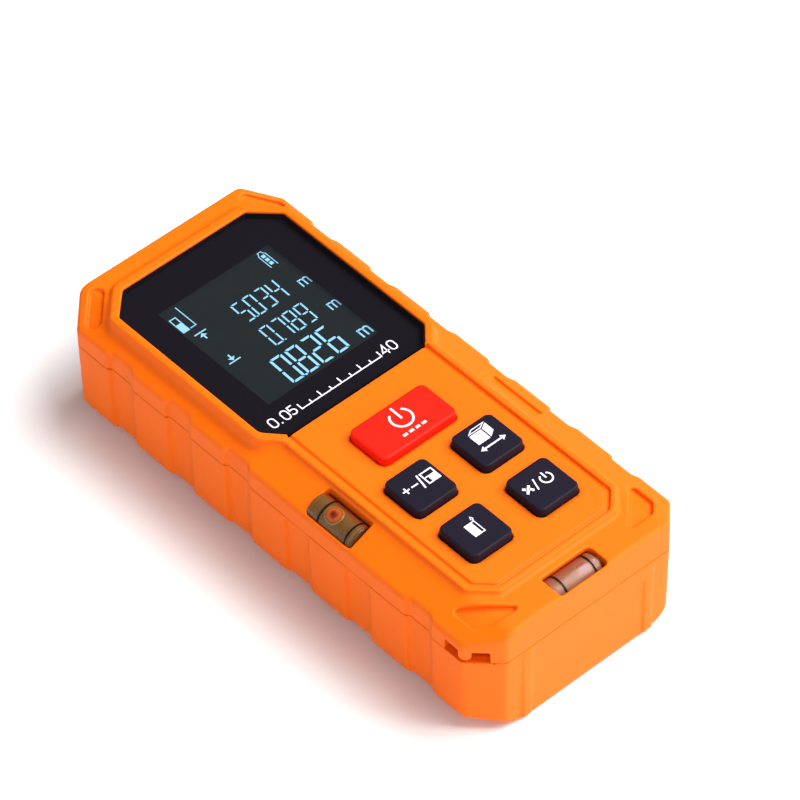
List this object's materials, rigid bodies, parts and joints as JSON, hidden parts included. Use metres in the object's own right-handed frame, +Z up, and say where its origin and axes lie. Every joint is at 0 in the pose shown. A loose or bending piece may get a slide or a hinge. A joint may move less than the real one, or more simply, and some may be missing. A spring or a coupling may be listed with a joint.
{
  "type": "laser distance meter",
  "caption": "Handheld laser distance meter with a ribbed two-shell case, framed display, rubber keys, two bubble levels, lanyard eye and battery door.",
  "frame": {"origin": "middle of the underside", "axes": "+Y out of the laser end, +Z up out of the keypad, +X to the right of somebody reading the display"},
  "size_m": [0.049, 0.112, 0.0268],
  "materials": {
    "case": "fine moulded texture, satin",
    "key_red": "smooth satin silicone",
    "key_black": "smooth satin silicone",
    "mat_grey": "matte silicone",
    "lens_black": "hard-coated acrylic, gloss",
    "tape": "matte foam tape",
    "lcd_glass": "smooth",
    "white_plastic": "satin",
    "light_guide": "polished",
    "zebra": "matte",
    "switch_black": "matte",
    "plunger_white": "matte",
    "vial_acrylic": "polished acrylic",
    "vial_fluid_amber": "clear spirit",
    "vial_fluid_pink": "clear spirit",
    "bubble": "clear",
    "bezel_black": "gloss",
    "optic_glass": "coated optical glass",
    "red_filter": "dyed optical glass",
    "holder_black": "glass-filled nylon, matte",
    "brass": "turned",
    "screw_steel": "zinc plated",
    "contact_steel": "nickel plated spring steel",
    "can_steel": "drawn",
    "board": "solder mask, gloss",
    "chip_black": "matte moulding compound",
    "capacitor": "satin",
    "flex": "polyimide film",
    "cell_sleeve": "plain printed sleeve, gloss"
  },
  "bodies": {
    "case": {"upper_shell": "case", "lower_shell": "case", "shell_screws": "screw_steel", "display_lens": "lens_black", "lens_tape": "tape", "lcd_panel": "lcd_glass", "lcd_frame": "white_plastic", "lcd_backlight": "light_guide", "zebra_strip": "zebra", "keypad_mat": "mat_grey", "switch_bodies": "switch_black", "side_vial_tube": "vial_acrylic", "side_vial_plug": "white_plastic", "side_vial_fluid": "vial_fluid_amber", "end_vial_tube": "vial_acrylic", "end_vial_plug": "white_plastic", "end_vial_fluid": "vial_fluid_pink", "front_bezel": "bezel_black", "laser_window": "optic_glass", "receiver_lens": "optic_glass", "optics_holder": "holder_black", "optics_screws": "screw_steel", "laser_barrel": "brass", "collimator_lens": "optic_glass", "laser_diode": "can_steel", "receiver_filter": "red_filter", "detector": "can_steel", "detector_board": "board", "optics_cable": "flex", "main_board": "board", "board_screws": "screw_steel", "cable_socket": "white_plastic", "processor": "chip_black", "crystal": "can_steel", "buzzer": "chip_black", "capacitors": "capacitor", "battery_cells": "cell_sleeve", "battery_springs": "contact_steel", "bridge_contact": "contact_steel", "positive_contact": "contact_steel", "negative_contact": "contact_steel"},
    "battery_door": {"battery_door": "case"},
    "side_bubble": {"side_bubble": "bubble"},
    "end_bubble": {"end_bubble": "bubble"},
    "key_measure": {"key_measure": "key_red", "plunger_measure": "plunger_white"},
    "key_units": {"key_units": "key_black", "plunger_units": "plunger_white"},
    "key_memory": {"key_memory": "key_black", "plunger_memory": "plunger_white"},
    "key_clear": {"key_clear": "key_black", "plunger_clear": "plunger_white"},
    "key_reference": {"key_reference": "key_black", "plunger_reference": "plunger_white"}
  },
  "joints": [
    {"name": "key_measure_press", "type": "slide", "parent": "case", "child": "key_measure", "axis": [0, 0, -1], "range_m": [0, 0.0005], "stiffness_N_per_m": 50, "springref_m": -0.0003},
    {"name": "key_units_press", "type": "slide", "parent": "case", "child": "key_units", "axis": [0, 0, -1], "range_m": [0, 0.0005], "stiffness_N_per_m": 50, "springref_m": -0.0003},
    {"name": "key_memory_press", "type": "slide", "parent": "case", "child": "key_memory", "axis": [0, 0, -1], "range_m": [0, 0.0005], "stiffness_N_per_m": 50, "springref_m": -0.0003},
    {"name": "key_clear_press", "type": "slide", "parent": "case", "child": "key_clear", "axis": [0, 0, -1], "range_m": [0, 0.0005], "stiffness_N_per_m": 50, "springref_m": -0.0003},
    {"name": "key_reference_press", "type": "slide", "parent": "case", "child": "key_reference", "axis": [0, 0, -1], "range_m": [0, 0.0005], "stiffness_N_per_m": 50, "springref_m": -0.0003},
    {"name": "battery_door_open", "type": "hinge", "parent": "case", "child": "battery_door", "pos_m": [0, -0.05015, 0], "axis": [-1, 0, 0], "range_deg": [0, 75]},
    {"name": "side_bubble_slide", "type": "slide", "parent": "case", "child": "side_bubble", "axis": [0, 1, 0], "range_m": [-0.0034, 0.0014]},
    {"name": "end_bubble_slide", "type": "slide", "parent": "case", "child": "end_bubble", "axis": [1, 0, 0], "range_m": [-0.0036, 0.0012]}
  ]
}
